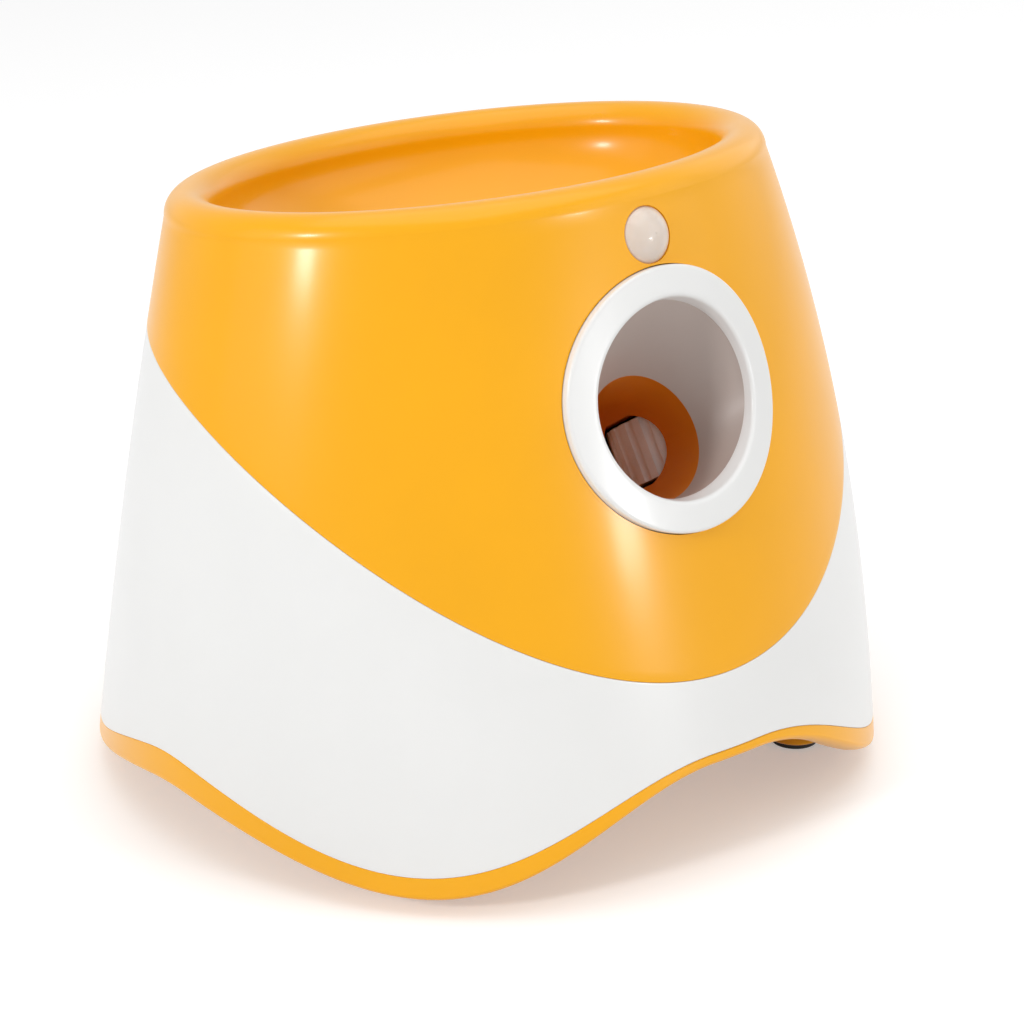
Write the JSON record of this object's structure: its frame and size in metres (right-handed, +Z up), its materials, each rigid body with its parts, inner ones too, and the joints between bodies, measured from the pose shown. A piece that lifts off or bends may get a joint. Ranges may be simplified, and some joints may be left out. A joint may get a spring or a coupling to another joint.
{
  "type": "automatic dog ball launcher",
  "caption": "Rounded two-tone automatic ball launcher for dogs: open oval hopper on top, round angled muzzle on the front, twin launch wheels and a rack-driven feeder inside.",
  "frame": {"origin": "on the floor, in the housing's plane of symmetry, under the middle of the bounding box", "axes": "+Z up, -Y towards the muzzle, +X to the right of someone who stands in front and faces the muzzle"},
  "size_m": [0.3374, 0.3159, 0.2733],
  "materials": {
    "orange_gloss": "gloss",
    "white_gloss": "gloss",
    "lens_translucent": "translucent satin",
    "foot_rubber": "matte",
    "tread_foam": "matte",
    "grey_plastic": "satin",
    "white_nylon": "satin",
    "dark_plastic": "satin",
    "board_green": "satin",
    "light_green": "translucent",
    "steel": "satin",
    "brass_gear": "satin",
    "cell_wrap": "satin"
  },
  "bodies": {
    "housing": {"upper_shell": "orange_gloss", "mid_shell": "white_gloss", "base_tub": "orange_gloss", "foot_pads": "foot_rubber", "muzzle_ring": "white_gloss", "muzzle_nozzle": "white_gloss", "sensor_lens": "lens_translucent", "sensor_board": "board_green", "drop_chute": "white_gloss", "chamber_upper": "orange_gloss", "chamber_lower": "orange_gloss", "chamber_cap": "orange_gloss", "ball_sensors": "dark_plastic", "launch_deck": "grey_plastic", "left_bracket": "grey_plastic", "right_bracket": "grey_plastic", "left_motor": "steel", "right_motor": "steel", "gear_axle": "steel", "gear_cover": "grey_plastic", "feed_motor": "steel", "battery_box": "dark_plastic", "battery_door": "orange_gloss", "battery_cells": "cell_wrap", "battery_contacts": "steel", "control_panel": "grey_plastic", "control_board": "board_green", "range_lights": "light_green", "dc_inlet": "dark_plastic", "case_screws": "steel", "seam_screws": "steel", "bracket_screws": "steel", "deck_screws": "steel", "motor_screws": "steel", "chute_screws": "steel", "cap_screws": "steel", "cover_screws": "steel", "door_screws": "steel"},
    "right_wheel": {"right_wheel_hub": "grey_plastic", "right_wheel_tread": "tread_foam", "right_motor_shaft": "steel"},
    "left_wheel": {"left_wheel_hub": "grey_plastic", "left_wheel_tread": "tread_foam", "left_motor_shaft": "steel"},
    "pusher": {"feed_pusher": "white_nylon"},
    "reduction_gear": {"rack_gear": "white_nylon"},
    "pinion": {"feed_motor_pinion": "brass_gear", "feed_motor_shaft": "steel"},
    "rocker": {"power_rocker": "dark_plastic"},
    "button": {"distance_button": "orange_gloss"}
  },
  "joints": [
    {"name": "right_wheel_spin", "type": "hinge", "parent": "housing", "child": "right_wheel", "pos_m": [0.057, -0.06503, 0.14602], "axis": [0, 0.5446, 0.8387], "continuous": true},
    {"name": "left_wheel_spin", "type": "hinge", "parent": "housing", "child": "left_wheel", "pos_m": [-0.057, -0.06503, 0.14602], "axis": [0, 0.5446, 0.8387], "continuous": true},
    {"name": "pusher_slide", "type": "slide", "parent": "housing", "child": "pusher", "axis": [0, -0.8387, 0.5446], "range_m": [0, 0.03]},
    {"name": "reduction_gear_turn", "type": "hinge", "parent": "housing", "child": "reduction_gear", "pos_m": [0.0505, -0.00599, 0.10768], "axis": [0, 0.5446, 0.8387], "range_deg": [0, 138]},
    {"name": "pinion_turn", "type": "hinge", "parent": "housing", "child": "pinion", "pos_m": [0.06312, 0.00912, 0.09786], "axis": [0, 0.5446, 0.8387], "range_deg": [-367, 0]},
    {"name": "power_rocker_tilt", "type": "hinge", "parent": "housing", "child": "rocker", "pos_m": [0, 0.13756, 0.10043], "axis": [1, 0, 0], "range_deg": [0, 16]},
    {"name": "distance_button_press", "type": "slide", "parent": "housing", "child": "button", "axis": [0, -0.9618, -0.2739], "range_m": [0, 0.0015], "stiffness_N_per_m": 400}
  ],
  "couplings": [
    {"joint": "left_wheel_spin", "follows": "right_wheel_spin", "ratio": -1},
    {"joint": "reduction_gear_turn", "follows": "pusher_slide", "rad_per_m": 80},
    {"joint": "pinion_turn", "follows": "pusher_slide", "rad_per_m": -213.33}
  ]
}
